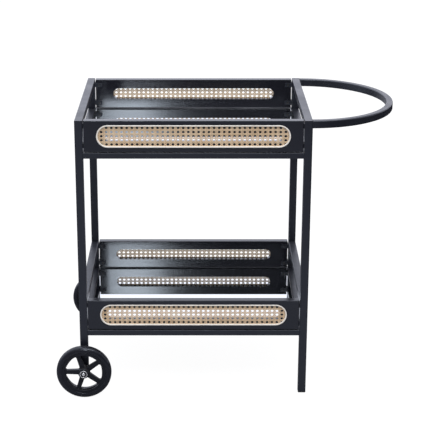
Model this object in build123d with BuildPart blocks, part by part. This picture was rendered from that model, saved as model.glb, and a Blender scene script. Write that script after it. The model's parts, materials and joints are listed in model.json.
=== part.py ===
# Bar cart on wheels: a welded tube frame that holds two mirrored trays with cane panels,
# a half-round loop handle at one end and two spoked wheels at the other.
# Millimetres. +X points to the handle, -Y to the front and +Z up. The origin is on the floor,
# under the middle of the whole cart, handle and wheels included.
from build123d import *
from math import asin, degrees, radians, sin
import os

os.makedirs("parts", exist_ok=True)

# ---------------------------------------------------------------- driving dimensions
body_length = 590.0  # over the left and right legs
body_depth = 454.0  # over the front and rear legs
cart_height = 742.0  # floor to the top of the legs
lower_tray_top = 262.0  # floor to the top of the lower tray's panels

# tube of the legs and side rails, flat tube of the base rails, and tube of the handle
tube = 20.0
rail_height = 15.0
tube_wall = 1.5
tube_corner = 1.5
tube_inner_corner = 0.5
handle_width = 17.0
handle_height = 20.0
handle_corner = 3.0

# trays
panel_height = 80.5
panel_thickness = 20.0
panel_end_gap = 2.5  # from a panel's end to the leg beside it
panel_groove = 2.5  # shadow gap between a panel and the base rail under it
panel_edge_radius = 1.5
mirror_thickness = 3.0
board_thickness = 9.0
tray_side_clearance = 0.5  # from the board and mirror to the front and rear base rails
cross_bar_width = 25.0
cross_bar_spacing = 300.0
mirror_edge = 0.5  # chamfer round the mirror's top

# cane inserts
cane_frame_length = 483.0
cane_frame_height = 58.5
cane_thickness = 1.4
cane_fit = 0.2
trim_width = 3.6
trim_height = 3.6
trim_proud = 0.6
opening_length = 448.0  # of the through opening behind the cane
opening_height = 30.5

# brackets and their screws
bracket_arm = 20.0
bracket_tab = 18.0
bracket_height = 12.0
bracket_thickness = 2.0
bracket_drop_upper = 15.0  # panel's top edge to the middle of the upper bracket
bracket_drop_lower = 66.0
bracket_corner = 2.0
bracket_screw_offset = 8.0  # screw to the free end of the bracket's arm
panel_screw_diameter = 3.5
panel_screw_bite = 10.0  # past the bracket, in the panel
panel_pilot_depth = 13.0
screw_head_height = 1.6
screw_head_ratio = 2.0  # head diameter over shank diameter
screw_head_taper = 25.0  # degrees, from the head's seat to its top
screw_fit = 0.05  # radial gap round a screw in its hole
screw_cross_length = 4.2  # cross recess in the head
screw_cross_width = 0.9
screw_cross_depth = 1.1
board_screw_diameter = 4.0
board_screw_bite = 7.0
board_screw_inset = 60.0  # screw to the end of the cross bar

# wheels
wheel_diameter = 143.0
tyre_width = 24.0
tyre_height = 15.0  # rim flange to tread
tyre_shoulder = 7.5
rim_width = 22.0  # over the flanges
rim_flange_height = 3.0
rim_flange_width = 2.0
rim_wall = 4.0
hub_radius = 14.0
hub_length = 30.0
hub_chamfer = 1.5
spoke_thickness = 10.0
spoke_count = 5
spoke_width_rim = 10.5
spoke_width_hub = 13.5
spoke_corner_hub = 6.0
spoke_corner_rim = 4.0
web_edge = 2.8  # how far the web reaches inwards from the ring, in the middle of an opening

# axles
axle_diameter = 8.0
axle_fit = 0.05  # radial running gap in the bush
axle_hole_gap = 0.15  # radial gap in the leg, washer, spacer and sleeve
bush_wall = 2.5
side_play = 0.3  # hub to the spacer, and hub to the washer
spacer_length = 5.0
spacer_wall = 4.0
washer_radius = 10.0
washer_thickness = 1.5
washer_rim_height = 2.2
washer_rim_width = 2.0
bolt_head_overhang = 0.4  # head's radius over the shank's
bolt_head_height = 4.0
bolt_head_rounding = 2.4
nut_flats = 13.0
nut_height = 6.5
bolt_tail = 2.5
sleeve_wall = 2.0

# caps in the ends of the leg tubes
foot_height = 5.0
foot_plug = 14.0
foot_rounding = 1.5
left_leg_drop = 17.0  # axle to the end of a left leg
left_cap_height = 3.0
left_cap_plug = 7.0
plug_gap = 0.1

# ---------------------------------------------------------------- derived places
wheel_radius = wheel_diameter / 2
reach_right = body_length / 2 + body_depth / 2
reach_left = body_length / 2 - tube / 2 + wheel_radius
body_x = (reach_left - reach_right) / 2
leg_x = {"left": body_x - body_length / 2 + tube / 2, "right": body_x + body_length / 2 - tube / 2}
leg_y = {"front": -body_depth / 2 + tube / 2, "rear": body_depth / 2 - tube / 2}
out_y = {"front": -1, "rear": 1}
inner_length = body_length - 2 * tube
inner_depth = body_depth - 2 * tube
panel_length = inner_length - 2 * panel_end_gap
tray_top = {"upper": cart_height, "lower": lower_tray_top}
base_drop = panel_height + panel_groove  # tray's top edge to the top of its base rails
board_depth = inner_depth - 2 * tray_side_clearance
cross_bar_thickness = rail_height - mirror_thickness - board_thickness
recess_depth = cane_thickness + trim_height - trim_proud
cross_bar_x = (body_x - cross_bar_spacing / 2, body_x + cross_bar_spacing / 2)
board_screw_y = inner_depth / 2 - board_screw_inset
screw_spots_x = (
    body_x - inner_length / 2 + bracket_arm - bracket_screw_offset,
    body_x + inner_length / 2 - bracket_arm + bracket_screw_offset,
)
rim_flange_radius = wheel_radius - tyre_height
rim_seat_radius = rim_flange_radius - rim_flange_height
rim_inner_radius = rim_seat_radius - rim_wall
seat_width = rim_width - 2 * rim_flange_width
bush_radius = axle_diameter / 2 + axle_fit + bush_wall
hub_start = spacer_length + side_play
hub_middle = hub_start + hub_length / 2
washer_start = hub_start + hub_length + side_play
head_start = washer_start + washer_thickness
axle_hole_radius = axle_diameter / 2 + axle_hole_gap
bolt_head_radius = axle_diameter / 2 + bolt_head_overhang


def save(built, name):
    """Labels a finished piece and writes it as its own file."""
    built.part.label = name
    export_step(built.part, f"parts/{name}.step")


def tube_section(width, height, corner=tube_corner):
    """Draws the hollow section of a tube in the sketch that is open."""
    inner_corner = max(corner - tube_wall, tube_inner_corner)
    RectangleRounded(width, height, corner)
    RectangleRounded(
        width - 2 * tube_wall, height - 2 * tube_wall, inner_corner, mode=Mode.SUBTRACT
    )


def mitre_plane(side, end):
    """Gives the 45 degree plane through the outer top edge where a leg meets its top rail."""
    corner = (leg_x[side], out_y[end] * body_depth / 2, cart_height)
    return Plane(origin=corner, x_dir=(1, 0, 0), z_dir=(0, -out_y[end], 1))


def axle_plane(end, out):
    """Gives the plane across a wheel's axis, at a distance outwards from the leg's outer face."""
    start = (leg_x["left"], out_y[end] * (body_depth / 2 + out), wheel_radius)
    return Plane(origin=start, x_dir=(1, 0, 0), z_dir=(0, out_y[end], 0))


def profile_plane(end):
    """Gives the plane through a wheel's axis: x is outwards from the leg, y the radius."""
    start = (leg_x["left"], out_y[end] * body_depth / 2, wheel_radius)
    return Plane(origin=start, x_dir=(0, out_y[end], 0), z_dir=(out_y[end], 0, 0))


def panel_plane(end, height, inset):
    """Gives the upright plane at a distance inwards from the cart's front or rear face."""
    start = (body_x, out_y[end] * (body_depth / 2 - inset), height)
    return Plane(origin=start, x_dir=(1, 0, 0), z_dir=(0, out_y[end], 0))


# ---------------------------------------------------------------- frame: legs and their caps
def build_leg(side, end):
    """A leg, mitred at the top; the left ones end just under their axle hole."""
    bottom = foot_height if side == "right" else wheel_radius - left_leg_drop
    with BuildPart() as leg:
        with BuildSketch(Plane.XY.offset(bottom)):
            with Locations((leg_x[side], leg_y[end])):
                tube_section(tube, tube)
        extrude(amount=cart_height - bottom)
        split(bisect_by=mitre_plane(side, end), keep=Keep.BOTTOM)
        if side == "left":
            with BuildSketch(axle_plane(end, 0)):
                Circle(axle_hole_radius)
            extrude(amount=-tube, mode=Mode.SUBTRACT)
    save(leg, f"leg_{end}_{side}")


def build_leg_cap(side, end, bottom, flange, plug, name):
    """A plastic cap: a flange as wide as the tube and a plug inside it."""
    plug_width = tube - 2 * tube_wall - 2 * plug_gap
    with BuildPart() as cap:
        with BuildSketch(Plane.XY.offset(bottom)):
            with Locations((leg_x[side], leg_y[end])):
                RectangleRounded(tube, tube, tube_corner)
        extrude(amount=flange)
        fillet(cap.faces().sort_by(Axis.Z)[0].edges(), min(foot_rounding, 0.4 * flange))
        with BuildSketch(Plane.XY.offset(bottom + flange)):
            with Locations((leg_x[side], leg_y[end])):
                RectangleRounded(plug_width, plug_width, tube_inner_corner)
        extrude(amount=plug)
    save(cap, name)


for end in ("front", "rear"):
    for side in ("left", "right"):
        build_leg(side, end)
    left_cap_bottom = wheel_radius - left_leg_drop - left_cap_height
    build_leg_cap("left", end, left_cap_bottom, left_cap_height, left_cap_plug, f"end_cap_{end}_left")
    build_leg_cap("right", end, 0, foot_height, foot_plug, f"foot_{end}_right")


# ---------------------------------------------------------------- frame: rails
def build_top_rail(side):
    """The rail over a pair of legs, mitred at both ends."""
    with BuildPart() as rail:
        with BuildSketch(Plane.XZ.offset(-body_depth / 2)):
            with Locations((leg_x[side], cart_height - tube / 2)):
                tube_section(tube, tube)
        extrude(amount=body_depth)
        split(bisect_by=mitre_plane(side, "front"), keep=Keep.TOP)
        split(bisect_by=mitre_plane(side, "rear"), keep=Keep.TOP)
    save(rail, f"top_rail_{side}")


def build_side_rail(side, top, height, name):
    """A rail between the front and rear leg of one side."""
    with BuildPart() as rail:
        with BuildSketch(Plane.XZ.offset(-inner_depth / 2)):
            with Locations((leg_x[side], top - height / 2)):
                tube_section(tube, height)
        extrude(amount=inner_depth)
    save(rail, name)


def build_base_rail(tray, end):
    """The flat tube under a long panel, between the left and right leg."""
    middle = tray_top[tray] - base_drop - rail_height / 2
    with BuildPart() as rail:
        with BuildSketch(Plane.YZ.offset(body_x - inner_length / 2)):
            with Locations((leg_y[end], middle)):
                tube_section(tube, rail_height)
        extrude(amount=inner_length)
    save(rail, f"{tray}_base_rail_{end}")


for side in ("left", "right"):
    build_top_rail(side)
    build_side_rail(side, lower_tray_top, tube, f"lower_side_rail_{side}")
    for tray in ("upper", "lower"):
        base_top = tray_top[tray] - base_drop
        build_side_rail(side, base_top, rail_height, f"{tray}_base_rail_{side}")

for tray in ("upper", "lower"):
    for end in ("front", "rear"):
        build_base_rail(tray, end)

# the half-round handle, from the front right leg round to the rear right leg
handle_x = leg_x["right"] + tube / 2
with BuildPart() as handle:
    with BuildSketch(Plane.YZ.offset(handle_x)):
        with Locations(((handle_width - body_depth) / 2, cart_height - handle_height / 2)):
            tube_section(handle_width, handle_height, handle_corner)
    revolve(axis=Axis((handle_x, 0, 0), (0, 0, 1)), revolution_arc=180)
save(handle, "handle_loop")


# ---------------------------------------------------------------- trays: panels and cane
def build_panel(tray, end):
    """A long panel with a recess for the cane outside and a smaller opening right through."""
    middle = tray_top[tray] - panel_height / 2
    drops = (bracket_drop_upper, bracket_drop_lower)
    spots = [(x - body_x, panel_height / 2 - drop) for x in screw_spots_x for drop in drops]
    with BuildPart() as panel:
        with BuildSketch(panel_plane(end, middle, 0)):
            Rectangle(panel_length, panel_height)
        extrude(amount=-panel_thickness)
        fillet(panel.edges(), panel_edge_radius)
        with BuildSketch(panel_plane(end, middle, 0)):
            SlotOverall(cane_frame_length, cane_frame_height)
        extrude(amount=-recess_depth, mode=Mode.SUBTRACT)
        with BuildSketch(panel_plane(end, middle, 0)):
            SlotOverall(opening_length, opening_height)
        extrude(amount=-panel_thickness, mode=Mode.SUBTRACT)
        with BuildSketch(panel_plane(end, middle, panel_thickness)):
            with Locations(*[(x, -y if end == "rear" else y) for x, y in spots]):
                Circle(panel_screw_diameter / 2 + screw_fit)
        extrude(amount=panel_pilot_depth, mode=Mode.SUBTRACT)
    save(panel, f"{tray}_panel_{end}")


def build_cane(tray, end):
    """The flat sheet of cane webbing on the floor of the recess."""
    middle = tray_top[tray] - panel_height / 2
    with BuildPart() as cane:
        with BuildSketch(panel_plane(end, middle, recess_depth)):
            SlotOverall(cane_frame_length - 2 * cane_fit, cane_frame_height - 2 * cane_fit)
        extrude(amount=cane_thickness)
    save(cane, f"{tray}_cane_{end}")


def build_trim(tray, end):
    """The ring that holds the cane's edge in the recess, with its front edges rounded."""
    middle = tray_top[tray] - panel_height / 2
    length = cane_frame_length - 2 * cane_fit
    height = cane_frame_height - 2 * cane_fit
    with BuildPart() as trim:
        with BuildSketch(panel_plane(end, middle, recess_depth - cane_thickness)):
            SlotOverall(length, height)
            SlotOverall(length - 2 * trim_width, height - 2 * trim_width, mode=Mode.SUBTRACT)
        extrude(amount=trim_height)
        outer_face = trim.faces().sort_by(Axis.Y)[0 if end == "front" else -1]
        fillet(outer_face.edges(), min(0.4 * trim_width, 0.8 * trim_height))
    save(trim, f"{tray}_cane_trim_{end}")


# ---------------------------------------------------------------- trays: bottom
def build_mirror(tray):
    """The mirror, level with the tops of the base rails."""
    with BuildPart() as mirror:
        with BuildSketch(Plane.XY.offset(tray_top[tray] - base_drop - mirror_thickness)):
            with Locations((body_x, 0)):
                Rectangle(panel_length, board_depth)
        extrude(amount=mirror_thickness)
        chamfer(mirror.faces().sort_by(Axis.Z)[-1].edges(), mirror_edge)
    save(mirror, f"{tray}_mirror")


def build_board(tray):
    """The board under the mirror, with pilot holes for the screws from the cross bars."""
    bottom = tray_top[tray] - base_drop - mirror_thickness - board_thickness
    with BuildPart() as board:
        with BuildSketch(Plane.XY.offset(bottom)):
            with Locations((body_x, 0)):
                Rectangle(panel_length, board_depth)
        extrude(amount=board_thickness)
        with BuildSketch(Plane.XY.offset(bottom)):
            with Locations(*[(x, y) for x in cross_bar_x for y in (-board_screw_y, board_screw_y)]):
                Circle(board_screw_diameter / 2 + screw_fit)
        extrude(amount=board_screw_bite, mode=Mode.SUBTRACT)
    save(board, f"{tray}_tray_board")


def build_cross_bars(tray):
    """The pair of flat bars that carry the board, from the front to the rear base rail."""
    bottom = tray_top[tray] - base_drop - rail_height
    with BuildPart() as bars:
        with BuildSketch(Plane.XY.offset(bottom)):
            with Locations(*[(x, 0) for x in cross_bar_x]):
                Rectangle(cross_bar_width, inner_depth)
            with Locations(*[(x, y) for x in cross_bar_x for y in (-board_screw_y, board_screw_y)]):
                Circle(board_screw_diameter / 2 + screw_fit, mode=Mode.SUBTRACT)
        extrude(amount=cross_bar_thickness)
    save(bars, f"{tray}_cross_bars")


def cross_recess():
    """Draws a screw head's cross recess in the sketch that is open."""
    Rectangle(screw_cross_length, screw_cross_width)
    Rectangle(screw_cross_width, screw_cross_length)


def build_board_screws():
    """The screws from under both trays' cross bars into the boards."""
    spots = [(x, y) for x in cross_bar_x for y in (-board_screw_y, board_screw_y)]
    with BuildPart() as screws:
        for top in tray_top.values():
            bottom = top - base_drop - rail_height
            with BuildSketch(Plane.XY.offset(bottom)):
                with Locations(*spots):
                    Circle(board_screw_diameter / 2)
            extrude(amount=cross_bar_thickness + board_screw_bite)
            with BuildSketch(Plane.XY.offset(bottom)):
                with Locations(*spots):
                    Circle(board_screw_diameter / 2 * screw_head_ratio)
            extrude(amount=-screw_head_height, taper=screw_head_taper)
            with BuildSketch(Plane.XY.offset(bottom - screw_head_height)):
                with Locations(*spots):
                    cross_recess()
            extrude(amount=screw_cross_depth, mode=Mode.SUBTRACT)
    save(screws, "board_screws")


# ---------------------------------------------------------------- trays: brackets and screws
def build_brackets(tray):
    """Angle brackets: the tab is welded to the leg's side, the arm lies on the panel's inside."""
    drops = (bracket_drop_upper, bracket_drop_lower)
    panel_inside = body_depth / 2 - panel_thickness
    with BuildPart() as brackets:
        for drop in drops:
            with BuildSketch(Plane.XY.offset(tray_top[tray] - drop - bracket_height / 2)):
                for side_sign in (-1, 1):
                    for end_sign in (-1, 1):
                        leg_face = body_x + side_sign * inner_length / 2
                        corner_y = end_sign * (panel_inside - bracket_thickness)
                        arm_x = leg_face - side_sign * bracket_arm / 2
                        arm_y = corner_y + end_sign * bracket_thickness / 2
                        tab_x = leg_face - side_sign * bracket_thickness / 2
                        tab_y = corner_y + end_sign * bracket_tab / 2
                        with Locations((arm_x, arm_y)):
                            Rectangle(bracket_arm, bracket_thickness)
                        with Locations((tab_x, tab_y)):
                            Rectangle(bracket_thickness, bracket_tab)
            extrude(amount=bracket_height)
        for drop in drops:
            with BuildSketch(Plane.XZ.offset(-body_depth / 2)):
                with Locations(*[(x, tray_top[tray] - drop) for x in screw_spots_x]):
                    Circle(panel_screw_diameter / 2 + screw_fit)
            extrude(amount=body_depth, mode=Mode.SUBTRACT)
        arm_end = inner_length / 2 - bracket_arm
        free_edges = [
            edge
            for edge in brackets.edges().filter_by(Axis.Y)
            if abs(abs(edge.center().X - body_x) - arm_end) < bracket_thickness / 4
        ]
        fillet(free_edges, bracket_corner)
    save(brackets, f"{tray}_panel_brackets")


def build_panel_screws():
    """The screws through the arms of all the brackets into the panels."""
    head_seat = body_depth / 2 - panel_thickness - bracket_thickness
    drops = (bracket_drop_upper, bracket_drop_lower)
    spots = [(x, top - drop) for x in screw_spots_x for top in tray_top.values() for drop in drops]
    with BuildPart() as screws:
        for end_sign in (-1, 1):
            seat = Plane(origin=(0, end_sign * head_seat, 0), x_dir=(1, 0, 0), z_dir=(0, -1, 0))
            with BuildSketch(seat):
                with Locations(*spots):
                    Circle(panel_screw_diameter / 2)
            extrude(amount=-end_sign * (bracket_thickness + panel_screw_bite))
            with BuildSketch(seat):
                with Locations(*spots):
                    Circle(panel_screw_diameter / 2 * screw_head_ratio)
            extrude(amount=end_sign * screw_head_height, taper=screw_head_taper)
            head_top = end_sign * (head_seat - screw_head_height)
            with BuildSketch(Plane(origin=(0, head_top, 0), x_dir=(1, 0, 0), z_dir=(0, -1, 0))):
                with Locations(*spots):
                    cross_recess()
            extrude(amount=-end_sign * screw_cross_depth, mode=Mode.SUBTRACT)
    save(screws, "panel_screws")


for tray in ("upper", "lower"):
    for end in ("front", "rear"):
        build_panel(tray, end)
        build_cane(tray, end)
        build_trim(tray, end)
    build_mirror(tray)
    build_board(tray)
    build_cross_bars(tray)
    build_brackets(tray)

build_board_screws()
build_panel_screws()


# ---------------------------------------------------------------- wheels
wheel_axis = {end: Axis(axle_plane(end, 0).origin, (0, 1, 0)) for end in ("front", "rear")}

# one opening between two spokes, pointing along +X from the wheel's centre
half_pitch = 180 / spoke_count
opening_angle = half_pitch - degrees(asin(spoke_width_rim / 2 / rim_inner_radius))
opening_apex = spoke_width_hub / 2 / sin(radians(half_pitch))
opening_high = Vector(rim_inner_radius, 0).rotate(Axis.Z, opening_angle)
opening_low = Vector(rim_inner_radius, 0).rotate(Axis.Z, -opening_angle)
with BuildSketch() as spoke_opening:
    with BuildLine():
        Polyline(opening_high, (opening_apex, 0), opening_low)
        ThreePointArc(opening_low, (rim_inner_radius - web_edge, 0), opening_high)
    make_face()
    corners = spoke_opening.vertices().sort_by(Axis.X)
    fillet(corners[0], spoke_corner_hub)
    corners = spoke_opening.vertices().group_by(Axis.X)[-1]
    fillet(corners, spoke_corner_rim)


def ring_profile(middle, width, inner, outer):
    """Draws one rectangle of a turned profile in the sketch that is open on a profile plane."""
    with Locations((middle, (inner + outer) / 2)):
        Rectangle(width, outer - inner)


def build_rim(end):
    """The moulded rim: hub, five tapering spokes and a ring with two flanges for the tyre."""
    with BuildPart() as rim:
        with BuildSketch(profile_plane(end)) as section:
            ring_profile(hub_middle, hub_length, bush_radius, hub_radius)
            chamfer(section.vertices().group_by(Axis.Y)[-1], hub_chamfer)
            ring_profile(hub_middle, spoke_thickness, bush_radius, rim_seat_radius)
            ring_profile(hub_middle, rim_width, rim_inner_radius, rim_seat_radius)
            for sign in (-1, 1):
                flange_middle = hub_middle + sign * (rim_width - rim_flange_width) / 2
                ring_profile(flange_middle, rim_flange_width, rim_inner_radius, rim_flange_radius)
        revolve(axis=wheel_axis[end])
        with BuildSketch(axle_plane(end, hub_middle - spoke_thickness / 2)):
            with PolarLocations(0, spoke_count):
                add(spoke_opening.sketch)
        extrude(amount=spoke_thickness, mode=Mode.SUBTRACT)
    save(rim, f"wheel_rim_{end}")


def build_tyre(end):
    """The tyre: a foot between the rim's flanges and a rounded tread."""
    with BuildPart() as tyre:
        with BuildSketch(profile_plane(end)) as section:
            ring_profile(hub_middle, tyre_width, rim_flange_radius, wheel_radius)
            fillet(section.vertices().group_by(Axis.Y)[-1], tyre_shoulder)
            ring_profile(hub_middle, seat_width, rim_seat_radius, rim_flange_radius)
        revolve(axis=wheel_axis[end])
    save(tyre, f"tyre_{end}")


def build_turned(end, start, length, inner, outer, name):
    """A plain ring round the axle, from a distance outwards of the leg's outer face."""
    with BuildPart() as ring:
        with BuildSketch(profile_plane(end)):
            ring_profile(start + length / 2, length, inner, outer)
        revolve(axis=wheel_axis[end])
    save(ring, name)


def build_washer(end):
    """The cupped washer between the hub and the bolt's head."""
    base_middle = head_start - washer_thickness / 2
    rim_middle = head_start + washer_rim_height / 2
    rim_inside = washer_radius - washer_rim_width
    with BuildPart() as washer:
        with BuildSketch(profile_plane(end)):
            ring_profile(base_middle, washer_thickness, axle_hole_radius, washer_radius)
            ring_profile(rim_middle, washer_rim_height, rim_inside, washer_radius)
        revolve(axis=wheel_axis[end])
        crown = washer.faces().sort_by(Axis.Y)[0 if end == "front" else -1]
        fillet(crown.edges(), 0.35 * washer_rim_width)
    save(washer, f"axle_washer_{end}")


def build_bolt(end):
    """The axle bolt, from its domed head through hub and leg to its free tail."""
    tail_end = -tube - nut_height - bolt_tail
    with BuildPart() as bolt:
        with BuildSketch(profile_plane(end)) as half:
            ring_profile((head_start + tail_end) / 2, head_start - tail_end, 0, axle_diameter / 2)
            ring_profile(head_start + bolt_head_height / 2, bolt_head_height, 0, bolt_head_radius)
            outer_corner = half.vertices().group_by(Axis.X)[-1].sort_by(Axis.Y)[-1]
            fillet(outer_corner, bolt_head_rounding)
        revolve(axis=wheel_axis[end])
    save(bolt, f"axle_bolt_{end}")


def build_nut(end):
    """The lock nut on the leg's inner face."""
    with BuildPart() as nut:
        with BuildSketch(axle_plane(end, -tube)):
            RegularPolygon(nut_flats / 2, 6, major_radius=False)
            Circle(axle_diameter / 2 + screw_fit, mode=Mode.SUBTRACT)
        extrude(amount=-nut_height)
    save(nut, f"axle_nut_{end}")


for end in ("front", "rear"):
    build_rim(end)
    build_tyre(end)
    build_washer(end)
    build_bolt(end)
    build_nut(end)
    bush_bore = axle_diameter / 2 + axle_fit
    build_turned(end, hub_start, hub_length, bush_bore, bush_radius, f"hub_bush_{end}")
    spacer_radius = axle_hole_radius + spacer_wall
    build_turned(end, 0, spacer_length, axle_hole_radius, spacer_radius, f"axle_spacer_{end}")
    sleeve_start = tube_wall - tube
    sleeve_length = tube - 2 * tube_wall
    sleeve_radius = axle_hole_radius + sleeve_wall
    build_turned(
        end, sleeve_start, sleeve_length, axle_hole_radius, sleeve_radius, f"axle_sleeve_{end}"
    )
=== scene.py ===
"""Bar cart on wheels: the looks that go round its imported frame.

The cart is a black tube frame with two mirrored trays. Each long side of a tray is a lacquered
panel with a woven cane insert in a pale reed ring. The left end stands on two spoked wheels and
the right end has a half-round loop handle. Everything is in metres, in the frame's own axes:
+X points to the handle, -Y to the front and +Z up.
"""

import json
import logging
import math
import random
from collections.abc import Callable
from dataclasses import dataclass
from enum import Enum
from typing import ClassVar

import bmesh
import bpy
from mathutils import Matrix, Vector


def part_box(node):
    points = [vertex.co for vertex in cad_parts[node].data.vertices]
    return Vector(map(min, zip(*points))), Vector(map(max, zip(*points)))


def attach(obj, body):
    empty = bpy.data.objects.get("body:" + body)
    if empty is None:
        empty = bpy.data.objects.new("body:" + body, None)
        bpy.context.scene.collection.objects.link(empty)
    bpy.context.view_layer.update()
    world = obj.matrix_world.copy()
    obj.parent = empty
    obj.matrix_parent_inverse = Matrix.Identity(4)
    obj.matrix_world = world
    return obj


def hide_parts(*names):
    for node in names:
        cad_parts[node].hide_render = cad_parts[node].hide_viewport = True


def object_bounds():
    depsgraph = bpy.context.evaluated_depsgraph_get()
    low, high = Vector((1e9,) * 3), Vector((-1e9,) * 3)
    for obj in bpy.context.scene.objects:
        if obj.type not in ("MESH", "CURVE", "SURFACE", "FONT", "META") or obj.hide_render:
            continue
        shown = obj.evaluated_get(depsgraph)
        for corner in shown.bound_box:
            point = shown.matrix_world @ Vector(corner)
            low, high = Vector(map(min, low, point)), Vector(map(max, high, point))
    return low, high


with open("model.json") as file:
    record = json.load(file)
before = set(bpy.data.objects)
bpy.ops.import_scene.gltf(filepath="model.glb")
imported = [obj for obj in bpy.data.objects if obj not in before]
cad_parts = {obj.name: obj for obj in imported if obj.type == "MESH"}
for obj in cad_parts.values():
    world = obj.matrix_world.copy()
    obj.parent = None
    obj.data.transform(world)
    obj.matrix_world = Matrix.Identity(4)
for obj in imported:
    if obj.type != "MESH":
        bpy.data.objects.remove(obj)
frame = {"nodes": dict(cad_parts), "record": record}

CAD_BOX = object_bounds()
MM = 0.001

Rgb = tuple[float, float, float]
Point2 = tuple[float, float]
Point3 = tuple[float, float, float]

log = logging.getLogger("bar_cart")


class End(Enum):
    """The two long sides of the cart."""

    FRONT = "front"
    REAR = "rear"

    @property
    def outward(self) -> float:
        """The sign of Y that points away from the cart on this side."""
        return -1.0 if self is End.FRONT else 1.0


class Tier(Enum):
    """The two trays."""

    UPPER = "upper"
    LOWER = "lower"


class Side(Enum):
    """The two short ends of the cart: wheels at the left, feet and handle at the right."""

    LEFT = "left"
    RIGHT = "right"


class Slot(Enum):
    """The material slots that new pieces take their finish from."""

    CANE = "cane"
    TYRE = "tyre"
    RIM = "rim_plastic"


# ------------------------------------------------------------------------------ shader nodes
class NodeSheet:
    """Adds and joins the nodes of one node tree."""

    def __init__(self, tree: bpy.types.NodeTree) -> None:
        """Keeps the tree that the nodes go in."""
        self.tree = tree

    def set_input(self, socket: bpy.types.NodeSocket, value: object) -> None:
        """Links a socket to another one, or gives it a plain value.

        Args:
            socket: The input socket.
            value: The output socket to link, or the value.
        """
        if isinstance(value, bpy.types.NodeSocket):
            self.tree.links.new(value, socket)
        else:
            socket.default_value = value

    def add(self, kind: str, settings: dict | None = None, **inputs: object) -> bpy.types.Node:
        """Adds one node.

        Args:
            kind: Blender's name for the node type.
            settings: Properties of the node itself.
            **inputs: Its input sockets by name, with _ for a space: a value or a socket to link.

        Returns:
            The new node.
        """
        node = self.tree.nodes.new(kind)
        for key, value in (settings or {}).items():
            setattr(node, key, value)
        for key, value in inputs.items():
            self.set_input(node.inputs[key.replace("_", " ")], value)
        return node

    def math(self, operation: str, first: object, second: object = 0.0) -> bpy.types.NodeSocket:
        """Joins two values by one sum, kept between 0 and 1.

        Args:
            operation: Blender's name for the sum.
            first: The first value or socket.
            second: The second value or socket.

        Returns:
            The socket with the result.
        """
        node = self.add("ShaderNodeMath", {"operation": operation, "use_clamp": True})
        self.set_input(node.inputs[0], first)
        self.set_input(node.inputs[1], second)
        return node.outputs[0]

    def span(
        self, value: object, low: float, high: float, to_low: float = 0.0, to_high: float = 1.0
    ) -> bpy.types.NodeSocket:
        """Maps a value from one range to another.

        Args:
            value: The value or socket.
            low: The value that becomes to_low.
            high: The value that becomes to_high.
            to_low: The result at low.
            to_high: The result at high.

        Returns:
            The socket with the result.
        """
        node = self.add("ShaderNodeMapRange", {"clamp": True, "interpolation_type": "SMOOTHSTEP"})
        limits = {"From Min": low, "From Max": high, "To Min": to_low, "To Max": to_high}
        for name, number in limits.items():
            node.inputs[name].default_value = number
        self.set_input(node.inputs["Value"], value)
        return node.outputs["Result"]

    def blend(self, factor: object, first: object, second: object) -> bpy.types.NodeSocket:
        """Mixes two colours by a factor.

        Args:
            factor: 0 gives the first colour and 1 the second.
            first: A colour or a socket.
            second: A colour or a socket.

        Returns:
            The socket with the mixed colour.
        """
        node = self.add("ShaderNodeMix", {"data_type": "RGBA", "clamp_factor": True})
        self.set_input(node.inputs[0], factor)
        for index, value in ((6, first), (7, second)):
            if isinstance(value, tuple):
                value = (*value, 1.0)
            self.set_input(node.inputs[index], value)
        return node.outputs[2]

    def noise(
        self, vector: object, scale: object, detail: float = 2.0, roughness: float = 0.5
    ) -> bpy.types.NodeSocket:
        """Adds a noise texture.

        Args:
            vector: The socket with the place.
            scale: How fine it is.
            detail: How many finer layers it has.
            roughness: How strong the finer layers are.

        Returns:
            The socket with its value.
        """
        return self.add(
            "ShaderNodeTexNoise", Vector=vector, Scale=scale, Detail=detail, Roughness=roughness
        ).outputs["Fac"]


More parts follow.
